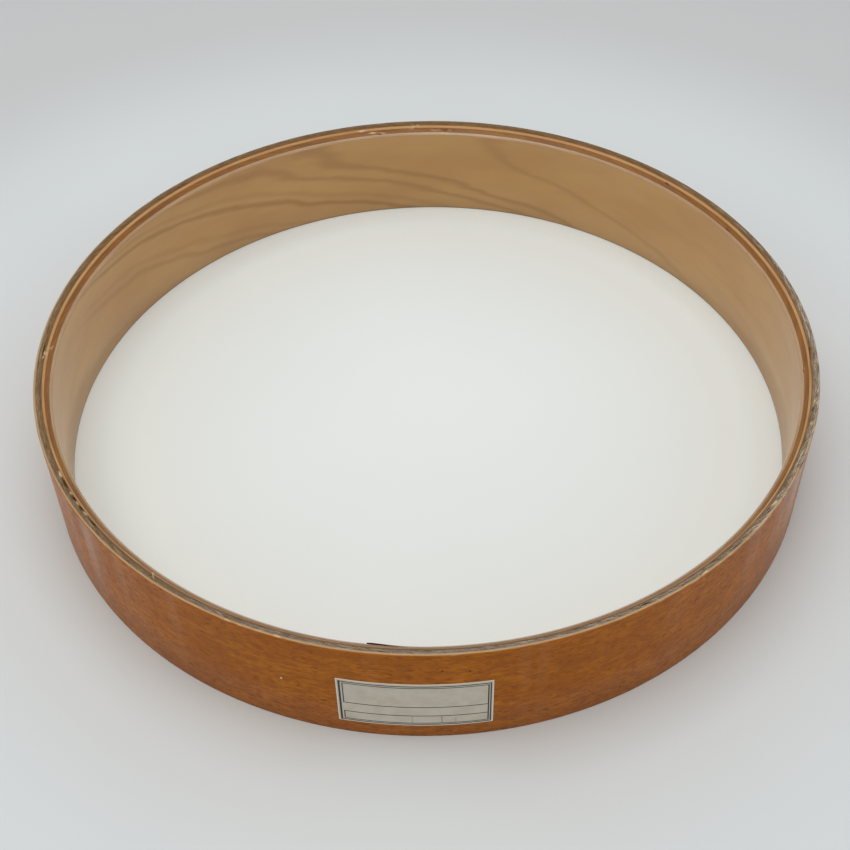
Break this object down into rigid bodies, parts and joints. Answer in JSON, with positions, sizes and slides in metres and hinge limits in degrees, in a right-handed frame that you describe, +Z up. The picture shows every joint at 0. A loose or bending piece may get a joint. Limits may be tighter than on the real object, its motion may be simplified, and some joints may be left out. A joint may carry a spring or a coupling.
{
  "type": "drum shell",
  "caption": "Shallow snare drum shell: a ring of bent maple veneers with a square foot, a bevelled bearing edge and a small paper label on the outer face.",
  "frame": {"origin": "centre of the foot, in the plane that the shell stands on", "axes": "+Z up along the shell's axis, from the foot to the bearing edge; -Y towards the front, where the paper label is"},
  "size_m": [0.3556, 0.3558, 0.0545],
  "materials": {
    "natural_maple_face": "satin",
    "long_grain_core": "satin",
    "cross_grain_core": "satin",
    "amber_maple_face": "satin",
    "label_paper": "matte"
  },
  "bodies": {
    "root": {"inner_face_ply": "natural_maple_face", "inner_cross_ply": "cross_grain_core", "inner_core_ply": "long_grain_core", "outer_core_ply": "cross_grain_core", "outer_cross_ply": "cross_grain_core", "outer_face_ply": "amber_maple_face", "paper_label": "label_paper"}
  },
  "joints": []
}
